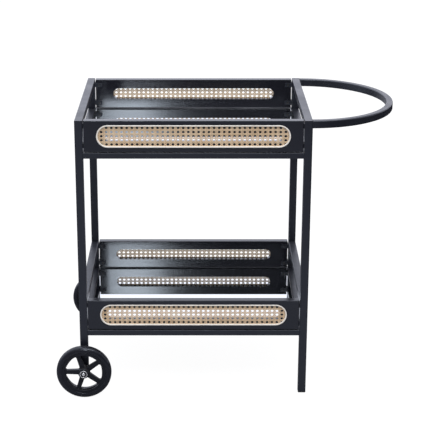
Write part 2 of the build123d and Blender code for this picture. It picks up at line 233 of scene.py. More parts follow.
class EffectLibrary:
    """The node groups that several finishes share. Each is built once."""

    def __init__(self) -> None:
        """Builds every group."""
        self.peel = self._build_peel()
        self.wear_and_highlight = self._build_wear_and_highlight()
        self.film = self._build_film()
        self.fibre = self._build_fibre()
        self.smudge = self._build_smudge()

    @staticmethod
    def _open(
        name: str, inputs: dict[str, object], outputs: tuple[str, ...]
    ) -> tuple[bpy.types.NodeTree, NodeSheet, bpy.types.Node, bpy.types.Node]:
        """Makes an empty group.

        Args:
            name: The group's name.
            inputs: Each input's name with its default value, a number or a vector.
            outputs: The names of the outputs, all plain values.

        Returns:
            The group, a sheet for its nodes, its input node and its output node.
        """
        group = bpy.data.node_groups.new(name, "ShaderNodeTree")
        for key, value in inputs.items():
            kind = "NodeSocketVector" if isinstance(value, tuple) else "NodeSocketFloat"
            socket = group.interface.new_socket(key, in_out="INPUT", socket_type=kind)
            socket.default_value = value
        for key in outputs:
            group.interface.new_socket(key, in_out="OUTPUT", socket_type="NodeSocketFloat")
        sheet = NodeSheet(group)
        return group, sheet, sheet.add("NodeGroupInput"), sheet.add("NodeGroupOutput")

    def _build_peel(self) -> bpy.types.NodeTree:
        """Orange peel: the fine unevenness of a sprayed or moulded skin, and its slow mottling."""
        group, sheet, given, made = self._open(
            "skin_peel", {"Scale": 900.0, "Mottle Scale": 9.0}, ("Height", "Mottle")
        )
        place = sheet.add("ShaderNodeTexCoord").outputs["Object"]
        sheet.set_input(made.inputs["Height"], sheet.noise(place, given.outputs["Scale"], 3.0, 0.55))
        mottle = sheet.noise(place, given.outputs["Mottle Scale"], 4.0, 0.6)
        sheet.set_input(made.inputs["Mottle"], sheet.span(mottle, 0.3, 0.7))
        return group

    def _build_wear_and_highlight(self) -> bpy.types.NodeTree:
        """Edge wear and painted edge highlight: a mask that shows along crisp edges and breaks up as it
        runs; finishes lay rubbed wear and a painted edge highlight through it.
        """
        group, sheet, given, made = self._open(
            "edge_wear_and_highlight", {"Radius": 0.001, "Breakup Scale": 60.0, "Amount": 1.0}, ("Mask",)
        )
        # This mask marks the edges that dark finishes lighten: rubbed wear together with a painted edge
        # highlight.
        rounded = sheet.add("ShaderNodeBevel", {"samples": 6}, Radius=given.outputs["Radius"])
        flat = sheet.add("ShaderNodeNewGeometry").outputs["Normal"]
        turn = sheet.add("ShaderNodeVectorMath", {"operation": "DOT_PRODUCT"})
        sheet.set_input(turn.inputs[0], rounded.outputs["Normal"])
        sheet.set_input(turn.inputs[1], flat)
        edge = sheet.span(turn.outputs["Value"], 0.999, 0.86)
        place = sheet.add("ShaderNodeTexCoord").outputs["Object"]
        breakup = sheet.span(sheet.noise(place, given.outputs["Breakup Scale"], 5.0, 0.65), 0.42, 0.62)
        mask = sheet.math("MULTIPLY", edge, breakup)
        sheet.set_input(made.inputs["Mask"], sheet.math("MULTIPLY", mask, given.outputs["Amount"]))
        return group

    def _build_film(self) -> bpy.types.NodeTree:
        """Dust film: a thin veil that settles on faces that look up."""
        group, sheet, given, made = self._open(
            "dust_film", {"Scale": 35.0, "Amount": 0.1}, ("Mask",)
        )
        normal = sheet.add("ShaderNodeNewGeometry").outputs["Normal"]
        up = sheet.add("ShaderNodeSeparateXYZ", Vector=normal)
        level = sheet.span(up.outputs["Z"], 0.2, 0.95)
        place = sheet.add("ShaderNodeTexCoord").outputs["Object"]
        patches = sheet.span(sheet.noise(place, given.outputs["Scale"], 6.0, 0.7), 0.35, 0.75)
        mask = sheet.math("MULTIPLY", level, patches)
        sheet.set_input(made.inputs["Mask"], sheet.math("MULTIPLY", mask, given.outputs["Amount"]))
        return group

    def _build_fibre(self) -> bpy.types.NodeTree:
        """Fibre: fine lines that run along the first axis of the vector that is put in."""
        group, sheet, given, made = self._open(
            "fibre_lines",
            {
                "Vector": (0.0, 0.0, 0.0),
                "Stretch": (8.0, 900.0, 900.0),
                "Tone Stretch": (3.0, 60.0, 60.0),
            },
            ("Height", "Tone"),
        )
        for wanted, stretch, detail in (("Height", "Stretch", 3.0), ("Tone", "Tone Stretch", 4.0)):
            drawn = sheet.add("ShaderNodeVectorMath", {"operation": "MULTIPLY"})
            sheet.set_input(drawn.inputs[0], given.outputs["Vector"])
            sheet.set_input(drawn.inputs[1], given.outputs[stretch])
            value = sheet.noise(drawn.outputs["Vector"], 1.0, detail, 0.6)
            sheet.set_input(made.inputs[wanted], sheet.span(value, 0.28, 0.72))
        return group

    def _build_smudge(self) -> bpy.types.NodeTree:
        """Smudges: faint hand marks and wiped streaks on a polished face."""
        group, sheet, given, made = self._open(
            "hand_smudges", {"Scale": 12.0, "Amount": 0.2}, ("Mask",)
        )
        place = sheet.add("ShaderNodeTexCoord").outputs["Object"]
        patches = sheet.span(sheet.noise(place, given.outputs["Scale"], 5.0, 0.6), 0.5, 0.8)
        wiped = sheet.add(
            "ShaderNodeMapping", Vector=place, Scale=(60.0, 9.0, 60.0), Rotation=(0.0, 0.0, 0.6)
        )
        streaks = sheet.span(sheet.noise(wiped.outputs["Vector"], 1.0, 4.0, 0.7), 0.4, 0.7, 0.35, 1.0)
        mask = sheet.math("MULTIPLY", patches, streaks)
        sheet.set_input(made.inputs["Mask"], sheet.math("MULTIPLY", mask, given.outputs["Amount"]))
        return group


# ------------------------------------------------------------------------------ finishes
@dataclass(frozen=True)
class Finish:
    """A finish: its name, colour and gloss. Each kind adds the nodes that make it."""

    name: str
    color: Rgb
    roughness: float

    def material(self, effects: EffectLibrary) -> bpy.types.Material:
        """Builds the material.

        Args:
            effects: The shared node groups.

        Returns:
            The finished material.
        """
        made = bpy.data.materials.new(self.name)
        made.use_nodes = True
        made.node_tree.nodes.clear()
        sheet = NodeSheet(made.node_tree)
        shader = sheet.add("ShaderNodeBsdfPrincipled")
        output = sheet.add("ShaderNodeOutputMaterial")
        sheet.set_input(output.inputs["Surface"], shader.outputs["BSDF"])
        made.diffuse_color = (*self.color, 1.0)
        self.dress(sheet, shader, effects)
        return made

    def dress(self, sheet: NodeSheet, shader: bpy.types.Node, effects: EffectLibrary) -> None:
        """Adds the nodes of this finish; each kind of finish has its own.

        Args:
            sheet: The material's sheet.
            shader: The Principled BSDF.
            effects: The shared node groups.
        """
        raise NotImplementedError

    @staticmethod
    def group(sheet: NodeSheet, tree: bpy.types.NodeTree, **inputs: object) -> bpy.types.Node:
        """Places a shared group with this finish's own values.

        Args:
            sheet: The material's sheet.
            tree: The shared group.
            **inputs: Its inputs by name, with _ for a space.

        Returns:
            The group's node.
        """
        node = sheet.add("ShaderNodeGroup", {"node_tree": tree})
        for key, value in inputs.items():
            sheet.set_input(node.inputs[key.replace("_", " ")], value)
        return node

    @staticmethod
    def bump(
        sheet: NodeSheet, shader: bpy.types.Node, height: object, strength: float, depth: float
    ) -> None:
        """Feeds the shader's normal from a height.

        Args:
            sheet: The material's sheet.
            shader: The Principled BSDF.
            height: The socket with the height.
            strength: The bump's strength, from 0 to 1.
            depth: The height of the relief in metres.
        """
        node = sheet.add("ShaderNodeBump", Height=height, Strength=strength, Distance=depth)
        sheet.set_input(shader.inputs["Normal"], node.outputs["Normal"])


@dataclass(frozen=True)
class PowderCoat(Finish):
    """Satin powder coat on steel: fine peel, paler edges that are partly rubbed wear and partly a
    painted highlight, and a little dust.
    """

    # Painted edge highlight mixed with wear: the edge colour is paler than the coat so edges look as if
    # they catch the light.
    edge_color: Rgb = (0.075, 0.078, 0.085)
    dust_color: Rgb = (0.22, 0.22, 0.22)
    peel_depth: float = 0.00006
    sheen_color: Rgb = (0.80, 0.88, 1.0)

    def dress(self, sheet: NodeSheet, shader: bpy.types.Node, effects: EffectLibrary) -> None:
        """Adds the peel, the paler edges (rubbed wear with a painted edge highlight) and the dust."""
        peel = self.group(sheet, effects.peel, Scale=1100.0, Mottle_Scale=14.0)
        wear_and_highlight = self.group(sheet, effects.wear_and_highlight, Radius=0.0009, Breakup_Scale=45.0, Amount=0.55)
        dust = self.group(sheet, effects.film, Scale=55.0, Amount=0.10)
        worn_and_highlighted = sheet.blend(wear_and_highlight.outputs["Mask"], self.color, self.edge_color)
        sheet.set_input(
            shader.inputs["Base Color"], sheet.blend(dust.outputs["Mask"], worn_and_highlighted, self.dust_color)
        )
        low, high = self.roughness - 0.04, self.roughness + 0.05
        rough = sheet.span(peel.outputs["Mottle"], 0.0, 1.0, low, high)
        sheet.set_input(shader.inputs["Roughness"], rough)
        shader.inputs["Specular Tint"].default_value = (*self.sheen_color, 1.0)
        self.bump(sheet, shader, peel.outputs["Height"], 0.35, self.peel_depth)


@dataclass(frozen=True)
class BlackLacquer(Finish):
    """Sprayed black lacquer on board: glossy, with faint orange peel and wiped smudges."""

    # Painted edge highlight mixed with wear: the edge colour is paler than the lacquer so edges look as
    # if they catch the light.
    edge_color: Rgb = (0.05, 0.05, 0.055)
    smudge_roughness: float = 0.10
    sheen_color: Rgb = (0.80, 0.88, 1.0)
    grain_depth: float = 0.00004

    def dress(self, sheet: NodeSheet, shader: bpy.types.Node, effects: EffectLibrary) -> None:
        """Adds the wood's grain under the lacquer, the smudges and the paler edges, partly rubbed wear
        and partly a painted highlight.
        """
        place = sheet.add("ShaderNodeTexCoord").outputs["Object"]
        grain = self.group(
            sheet, effects.fibre, Vector=place,
            Stretch=(16.0, 420.0, 420.0), Tone_Stretch=(5.0, 150.0, 150.0),
        )
        smudge = self.group(sheet, effects.smudge, Scale=9.0, Amount=0.7)
        wear_and_highlight = self.group(sheet, effects.wear_and_highlight, Radius=0.0008, Breakup_Scale=40.0, Amount=0.4)
        sheet.set_input(
            shader.inputs["Base Color"], sheet.blend(wear_and_highlight.outputs["Mask"], self.color, self.edge_color)
        )
        dulled = sheet.math("MULTIPLY", grain.outputs["Tone"], 0.35)
        rough = sheet.span(
            sheet.math("MAXIMUM", smudge.outputs["Mask"], dulled),
            0.0, 1.0, self.roughness, self.roughness + self.smudge_roughness,
        )
        sheet.set_input(shader.inputs["Roughness"], rough)
        shader.inputs["Specular Tint"].default_value = (*self.sheen_color, 1.0)
        self.bump(sheet, shader, grain.outputs["Height"], 0.30, self.grain_depth)


@dataclass(frozen=True)
class CaneReed(Finish):
    """Split cane: warm tan strands with long fibres, some darker than others."""

    dark: Rgb = (0.41, 0.275, 0.15)
    pale: Rgb = (0.83, 0.68, 0.49)

    def dress(self, sheet: NodeSheet, shader: bpy.types.Node, effects: EffectLibrary) -> None:
        """Adds fibres along each strand and a tone for each strand."""
        along = sheet.add("ShaderNodeUVMap", {"uv_map": CaneInsert.uv_name}).outputs["UV"]
        fibre = self.group(
            sheet, effects.fibre, Vector=along,
            Stretch=(40.0, 2600.0, 1.0), Tone_Stretch=(9.0, 55.0, 1.0),
        )
        place = sheet.add("ShaderNodeTexCoord").outputs["Object"]
        patch = sheet.span(sheet.noise(place, 26.0, 3.0), 0.32, 0.7)
        aged = sheet.blend(sheet.math("MULTIPLY", fibre.outputs["Tone"], 0.55), self.color, self.dark)
        bleached = sheet.blend(sheet.math("MULTIPLY", patch, 0.35), aged, self.pale)
        sheet.set_input(shader.inputs["Base Color"], bleached)
        low, high = self.roughness - 0.06, self.roughness + 0.12
        rough = sheet.span(fibre.outputs["Height"], 0.0, 1.0, low, high)
        sheet.set_input(shader.inputs["Roughness"], rough)
        shader.inputs["Specular IOR Level"].default_value = 0.4
        self.bump(sheet, shader, fibre.outputs["Height"], 0.3, 0.00006)


@dataclass(frozen=True)
class ReedTrim(Finish):
    """Pale rattan reed bent round the cane, with fine fibres along it and a waxed sheen."""

    dark: Rgb = (0.80, 0.72, 0.60)

    def dress(self, sheet: NodeSheet, shader: bpy.types.Node, effects: EffectLibrary) -> None:
        """Adds the fibres, a few darker joints and the wax."""
        place = sheet.add("ShaderNodeTexCoord").outputs["Object"]
        fibre = self.group(
            sheet, effects.fibre, Vector=place,
            Stretch=(25.0, 900.0, 900.0), Tone_Stretch=(14.0, 160.0, 160.0),
        )
        patch = sheet.span(sheet.noise(place, 40.0, 4.0), 0.4, 0.75)
        toned = sheet.blend(sheet.math("MULTIPLY", fibre.outputs["Tone"], 0.35), self.color, self.dark)
        patched = sheet.blend(sheet.math("MULTIPLY", patch, 0.25), toned, self.dark)
        sheet.set_input(shader.inputs["Base Color"], patched)
        low, high = self.roughness - 0.05, self.roughness + 0.08
        rough = sheet.span(fibre.outputs["Height"], 0.0, 1.0, low, high)
        sheet.set_input(shader.inputs["Roughness"], rough)
        shader.inputs["Coat Weight"].default_value = 0.15
        shader.inputs["Coat Roughness"].default_value = 0.25
        self.bump(sheet, shader, fibre.outputs["Height"], 0.25, 0.00008)


@dataclass(frozen=True)
class MirrorSilver(Finish):
    """Silvered glass: a clean mirror with faint wiped smudges and a trace of dust."""

    dust_color: Rgb = (0.62, 0.63, 0.63)

    def dress(self, sheet: NodeSheet, shader: bpy.types.Node, effects: EffectLibrary) -> None:
        """Adds the smudges to the gloss and the dust to the colour."""
        smudge = self.group(sheet, effects.smudge, Scale=7.0, Amount=1.0)
        dust = self.group(sheet, effects.film, Scale=90.0, Amount=0.05)
        sheet.set_input(
            shader.inputs["Base Color"], sheet.blend(dust.outputs["Mask"], self.color, self.dust_color)
        )
        shader.inputs["Metallic"].default_value = 1.0
        rough = sheet.span(smudge.outputs["Mask"], 0.0, 1.0, self.roughness, self.roughness + 0.05)
        sheet.set_input(shader.inputs["Roughness"], rough)


@dataclass(frozen=True)
class Moulded(Finish):
    """Moulded plastic or rubber: a fine grained skin with its own colour along the edges: rubbed wear,
    and on dark mouldings also a painted edge highlight that makes them a little paler.
    """

    # Edge colour: paler on dark mouldings, where it is rubbed wear together with a painted edge
    # highlight; darker wear on the pale bushes.
    edge_color: Rgb = (0.07, 0.07, 0.075)
    dust_color: Rgb = (0.25, 0.245, 0.235)
    grain: float = 1500.0
    depth: float = 0.00008
    dust: float = 0.12
    sheen_color: Rgb = (0.80, 0.88, 1.0)
    specular: float = 0.5

    def dress(self, sheet: NodeSheet, shader: bpy.types.Node, effects: EffectLibrary) -> None:
        """Adds the mould's grain, the edge wear with its painted edge highlight, and the dust."""
        peel = self.group(sheet, effects.peel, Scale=self.grain, Mottle_Scale=30.0)
        wear_and_highlight = self.group(sheet, effects.wear_and_highlight, Radius=0.0008, Breakup_Scale=70.0, Amount=0.5)
        dust = self.group(sheet, effects.film, Scale=80.0, Amount=self.dust)
        worn_and_highlighted = sheet.blend(wear_and_highlight.outputs["Mask"], self.color, self.edge_color)
        sheet.set_input(
            shader.inputs["Base Color"], sheet.blend(dust.outputs["Mask"], worn_and_highlighted, self.dust_color)
        )
        low, high = self.roughness - 0.05, self.roughness + 0.06
        rough = sheet.span(peel.outputs["Mottle"], 0.0, 1.0, low, high)
        sheet.set_input(shader.inputs["Roughness"], rough)
        shader.inputs["Specular Tint"].default_value = (*self.sheen_color, 1.0)
        shader.inputs["Specular IOR Level"].default_value = self.specular
        self.bump(sheet, shader, peel.outputs["Height"], 0.3, self.depth)


@dataclass(frozen=True)
class PlatedSteel(Finish):
    """Plated steel, bright or zinc, with fine turning lines and faint smudges."""

    line_depth: float = 0.00002
    line_stretch: tuple[float, float, float] = (300.0, 3000.0, 300.0)

    def dress(self, sheet: NodeSheet, shader: bpy.types.Node, effects: EffectLibrary) -> None:
        """Adds the turning lines and the smudges."""
        place = sheet.add("ShaderNodeTexCoord").outputs["Object"]
        lines = self.group(sheet, effects.fibre, Vector=place, Stretch=self.line_stretch)
        smudge = self.group(sheet, effects.smudge, Scale=60.0, Amount=1.0)
        dull = tuple(0.8 * channel for channel in self.color)
        sheet.set_input(
            shader.inputs["Base Color"], sheet.blend(smudge.outputs["Mask"], self.color, dull)
        )
        shader.inputs["Metallic"].default_value = 1.0
        rough = sheet.span(smudge.outputs["Mask"], 0.0, 1.0, self.roughness, self.roughness + 0.15)
        sheet.set_input(shader.inputs["Roughness"], rough)
        self.bump(sheet, shader, lines.outputs["Height"], 0.2, self.line_depth)


@dataclass(frozen=True)
class AxlePlating(PlatedSteel):
    """Bright plating on the axle's bolt head and washer, with a painted dark ring of shade in the
    washer's cup.
    """

    centre: Point2 = (0.0, 0.0)
    cup_inner: float = 4.5 * MM
    cup_outer: float = 8.0 * MM
    cup_edge: float = 0.15 * MM
    # Painted shade: the dark colour laid in the washer's cup, between the bolt head and the lip, where
    # the recess would be in shade.
    cup_shade_color: Rgb = (0.030, 0.031, 0.035)

    def dress(self, sheet: NodeSheet, shader: bpy.types.Node, effects: EffectLibrary) -> None:
        """Adds the plating, then the painted shade ring in the cup by the distance from the axle's
        line.
        """
        super().dress(sheet, shader, effects)
        plated = shader.inputs["Base Color"].links[0].from_socket
        place = sheet.add("ShaderNodeTexCoord").outputs["Object"]
        moved = sheet.add("ShaderNodeVectorMath", {"operation": "SUBTRACT"})
        sheet.set_input(moved.inputs[0], place)
        moved.inputs[1].default_value = (self.centre[0], 0.0, self.centre[1])
        flat = sheet.add("ShaderNodeVectorMath", {"operation": "MULTIPLY"})
        sheet.set_input(flat.inputs[0], moved.outputs["Vector"])
        flat.inputs[1].default_value = (1.0, 0.0, 1.0)
        far = sheet.add("ShaderNodeVectorMath", {"operation": "LENGTH"})
        sheet.set_input(far.inputs[0], flat.outputs["Vector"])
        distance, soft = far.outputs["Value"], self.cup_edge
        past_bolt = sheet.span(distance, self.cup_inner - soft, self.cup_inner + soft)
        before_lip = sheet.span(distance, self.cup_outer + soft, self.cup_outer - soft)
        # Painted shade in the cup: a ring between cup_inner and cup_outer, soft at both rims.
        painted_cup_shade = sheet.math("MULTIPLY", past_bolt, before_lip)
        sheet.set_input(shader.inputs["Base Color"], sheet.blend(painted_cup_shade, plated, self.cup_shade_color))


@dataclass(frozen=True)
class Fibreboard(Finish):
    """Dark stained fibreboard: pressed fibres, mottled stain, quite matt."""

    pale: Rgb = (0.085, 0.07, 0.055)

    def dress(self, sheet: NodeSheet, shader: bpy.types.Node, effects: EffectLibrary) -> None:
        """Adds the pressed fibres and the uneven stain."""
        place = sheet.add("ShaderNodeTexCoord").outputs["Object"]
        fibre = self.group(
            sheet, effects.fibre, Vector=place,
            Stretch=(350.0, 600.0, 600.0), Tone_Stretch=(60.0, 90.0, 90.0),
        )
        sheet.set_input(
            shader.inputs["Base Color"],
            sheet.blend(sheet.math("MULTIPLY", fibre.outputs["Tone"], 0.8), self.color, self.pale),
        )
        low, high = self.roughness - 0.06, self.roughness + 0.1
        rough = sheet.span(fibre.outputs["Height"], 0.0, 1.0, low, high)
        sheet.set_input(shader.inputs["Roughness"], rough)
        self.bump(sheet, shader, fibre.outputs["Height"], 0.4, 0.0001)


class FinishBook:
    """Every finish of the cart, built once and handed out by slot name."""

    def __init__(self, effects: EffectLibrary) -> None:
        """Builds the materials."""
        low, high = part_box("axle_washer_front")
        axle = ((low.x + high.x) / 2, (low.z + high.z) / 2)
        finishes: dict[str, Finish] = {
            "frame_black": PowderCoat("satin_powder_coat", (0.013, 0.014, 0.020), 0.34),
            "bracket_black": PowderCoat("bracket_powder_coat", (0.013, 0.014, 0.020), 0.42),
            "panel_lacquer": BlackLacquer("black_lacquer", (0.010, 0.010, 0.014), 0.115),
            "cane": CaneReed("woven_cane", (0.76, 0.56, 0.36), 0.48),
            "trim_cream": ReedTrim("pale_reed", (0.95, 0.91, 0.84), 0.38),
            "mirror": MirrorSilver("silvered_glass", (0.76, 0.785, 0.79), 0.012),
            "board": Fibreboard("stained_fibreboard", (0.045, 0.038, 0.032), 0.62),
            "rim_plastic": Moulded("moulded_rim", (0.007, 0.007, 0.010), 0.34, specular=0.3),
            "tyre": Moulded(
                "tyre_rubber", (0.008, 0.008, 0.012), 0.20, grain=800.0, depth=0.00005, specular=0.35
            ),
            "bush_plastic": Moulded(
                "natural_nylon", (0.72, 0.70, 0.64), 0.42, edge_color=(0.6, 0.58, 0.52), dust=0.03
            ),
            "bright_steel": AxlePlating("bright_plating", (0.80, 0.81, 0.83), 0.12, centre=axle),
            "zinc_steel": PlatedSteel("zinc_plating", (0.55, 0.56, 0.57), 0.32),
            "screw_black": PlatedSteel("black_oxide", (0.055, 0.055, 0.06), 0.38),
            "cap_plastic": Moulded("cap_plastic", (0.012, 0.012, 0.013), 0.48),
        }
        self.materials = {slot: finish.material(effects) for slot, finish in finishes.items()}
        self.slots = {row["node"]: row["material_slot"] for row in frame["record"]["subparts"]}

    def dress(self, piece: bpy.types.Object, slot: str) -> None:
        """Gives a piece the material of a slot."""
        piece.data.materials.clear()
        piece.data.materials.append(self.materials[slot])

    def dress_node(self, node: str) -> None:
        """Gives a CAD node the material of its own slot."""
        self.dress(frame["nodes"][node], self.slots[node])


# ------------------------------------------------------------------------------ meshes
def link_piece(name: str, mesh: bpy.types.Mesh) -> bpy.types.Object:
    """Puts a mesh in the scene as an object.

    Args:
        name: The object's name.
        mesh: Its mesh.

    Returns:
        The object.
    """
    piece = bpy.data.objects.new(name, mesh)
    bpy.context.scene.collection.objects.link(piece)
    return piece


def lathe(
    name: str, profile: list[Point2], centre: Vector, steps: int, sharp: float
) -> bpy.types.Object:
    """Turns a closed profile round the Y axis.

    Args:
        name: The piece's name.
        profile: Points of the closed profile: distance along Y from the centre, and radius.
        centre: The middle of the turned piece.
        steps: How many steps make the full turn.
        sharp: Edges that turn by more than this many degrees stay crisp.

    Returns:
        The turned piece.
    """
    verts: list[Vector] = []
    for step in range(steps):
        angle = 2 * math.pi * step / steps
        for along, radius in profile:
            offset = Vector((radius * math.cos(angle), along, radius * math.sin(angle)))
            verts.append(centre + offset)
    count = len(profile)
    faces: list[tuple[int, ...]] = []
    for step in range(steps):
        this, following = step * count, (step + 1) % steps * count
        for index in range(count):
            after = (index + 1) % count
            faces.append((this + index, this + after, following + after, following + index))
    mesh = bpy.data.meshes.new(name)
    mesh.from_pydata([tuple(vert) for vert in verts], [], faces)
    shell = bmesh.new()
    shell.from_mesh(mesh)
    bmesh.ops.recalc_face_normals(shell, faces=shell.faces)
    shell.to_mesh(mesh)
    shell.free()
    mesh.shade_smooth()
    mesh.set_sharp_from_angle(angle=math.radians(sharp))
    return link_piece(name, mesh)


def rounded_copy(name: str, node: str, width: float, crease: float) -> bpy.types.Object:
    """Copies a CAD node's shape and rounds its crisp edges.

    Args:
        name: The new piece's name.
        node: The CAD node that gives the shape.
        width: How wide the rounding is, in metres.
        crease: Edges that turn by more than this many degrees are rounded.

    Returns:
        The rounded piece.
    """
    source = frame["nodes"][node].data
    shell = bmesh.new()
    for vert in source.vertices:
        shell.verts.new(vert.co)
    shell.verts.ensure_lookup_table()
    for polygon in source.polygons:
        corners = [shell.verts[index] for index in polygon.vertices]
        if len(set(corners)) > 2 and shell.faces.get(corners) is None:
            shell.faces.new(corners)
    bmesh.ops.remove_doubles(shell, verts=shell.verts, dist=2e-6)
    bmesh.ops.recalc_face_normals(shell, faces=shell.faces)
    bmesh.ops.dissolve_limit(
        shell, angle_limit=math.radians(0.6), verts=shell.verts, edges=shell.edges, delimit=set()
    )
    limit = math.radians(crease)
    edges = [edge for edge in shell.edges if edge.is_manifold and edge.calc_face_angle(0.0) > limit]
    bmesh.ops.bevel(
        shell, geom=edges, offset=width, offset_type="OFFSET", segments=3, profile=0.5, affect="EDGES",
        clamp_overlap=True,
    )
    mesh = bpy.data.meshes.new(name)
    shell.to_mesh(mesh)
    shell.free()
    mesh.shade_smooth()
    mesh.set_sharp_from_angle(angle=math.radians(45))
    return link_piece(name, mesh)


# ------------------------------------------------------------------------------ sub-assemblies
class SubAssembly:
    """A group of the cart's parts that is dressed, and where needed built, together."""

    def nodes(self) -> list[str]:
        """Names the CAD nodes of this group; each kind of group has its own."""
        raise NotImplementedError

    def pieces(self, book: FinishBook) -> list[bpy.types.Object]:
        """Builds the group's own meshes; a group that only dresses its nodes has none.

        Args:
            book: The finishes.

        Returns:
            The new pieces.
        """
        return []

    def build(self, book: FinishBook) -> None:
        """Dresses the group's CAD nodes, builds its meshes and reports both.

        Args:
            book: The finishes.
        """
        names = self.nodes()
        for name in names:
            book.dress_node(name)
        log.info("%s: %d CAD nodes", type(self).__name__, len(names))
        for piece in self.pieces(book):
            log.info("%s: %d faces", piece.name, len(piece.data.polygons))


@dataclass
class TubeFrame(SubAssembly):
    """The welded frame: legs with their plastic caps, top rails, side rails and base rails."""

    cap_names: ClassVar[dict[Side, str]] = {Side.LEFT: "end_cap", Side.RIGHT: "foot"}

    def nodes(self) -> list[str]:
        """Names the legs, their caps and the rails."""
        names: list[str] = []
        for side in Side:
            names += [f"top_rail_{side.value}", f"lower_side_rail_{side.value}"]
            names += [f"{tier.value}_base_rail_{side.value}" for tier in Tier]
            kinds = ("leg", self.cap_names[side])
            names += [f"{kind}_{end.value}_{side.value}" for end in End for kind in kinds]
        return names + [f"{tier.value}_base_rail_{end.value}" for tier in Tier for end in End]


@dataclass
class HandleLoop(SubAssembly):
    """The half-round handle at the right end."""

    def nodes(self) -> list[str]:
        """Names the bent tube."""
        return ["handle_loop"]


@dataclass
class Hardware(SubAssembly):
    """The screws that hold the panels and the boards."""

    def nodes(self) -> list[str]:
        """Names the two sets of screws."""
        return ["panel_screws", "board_screws"]


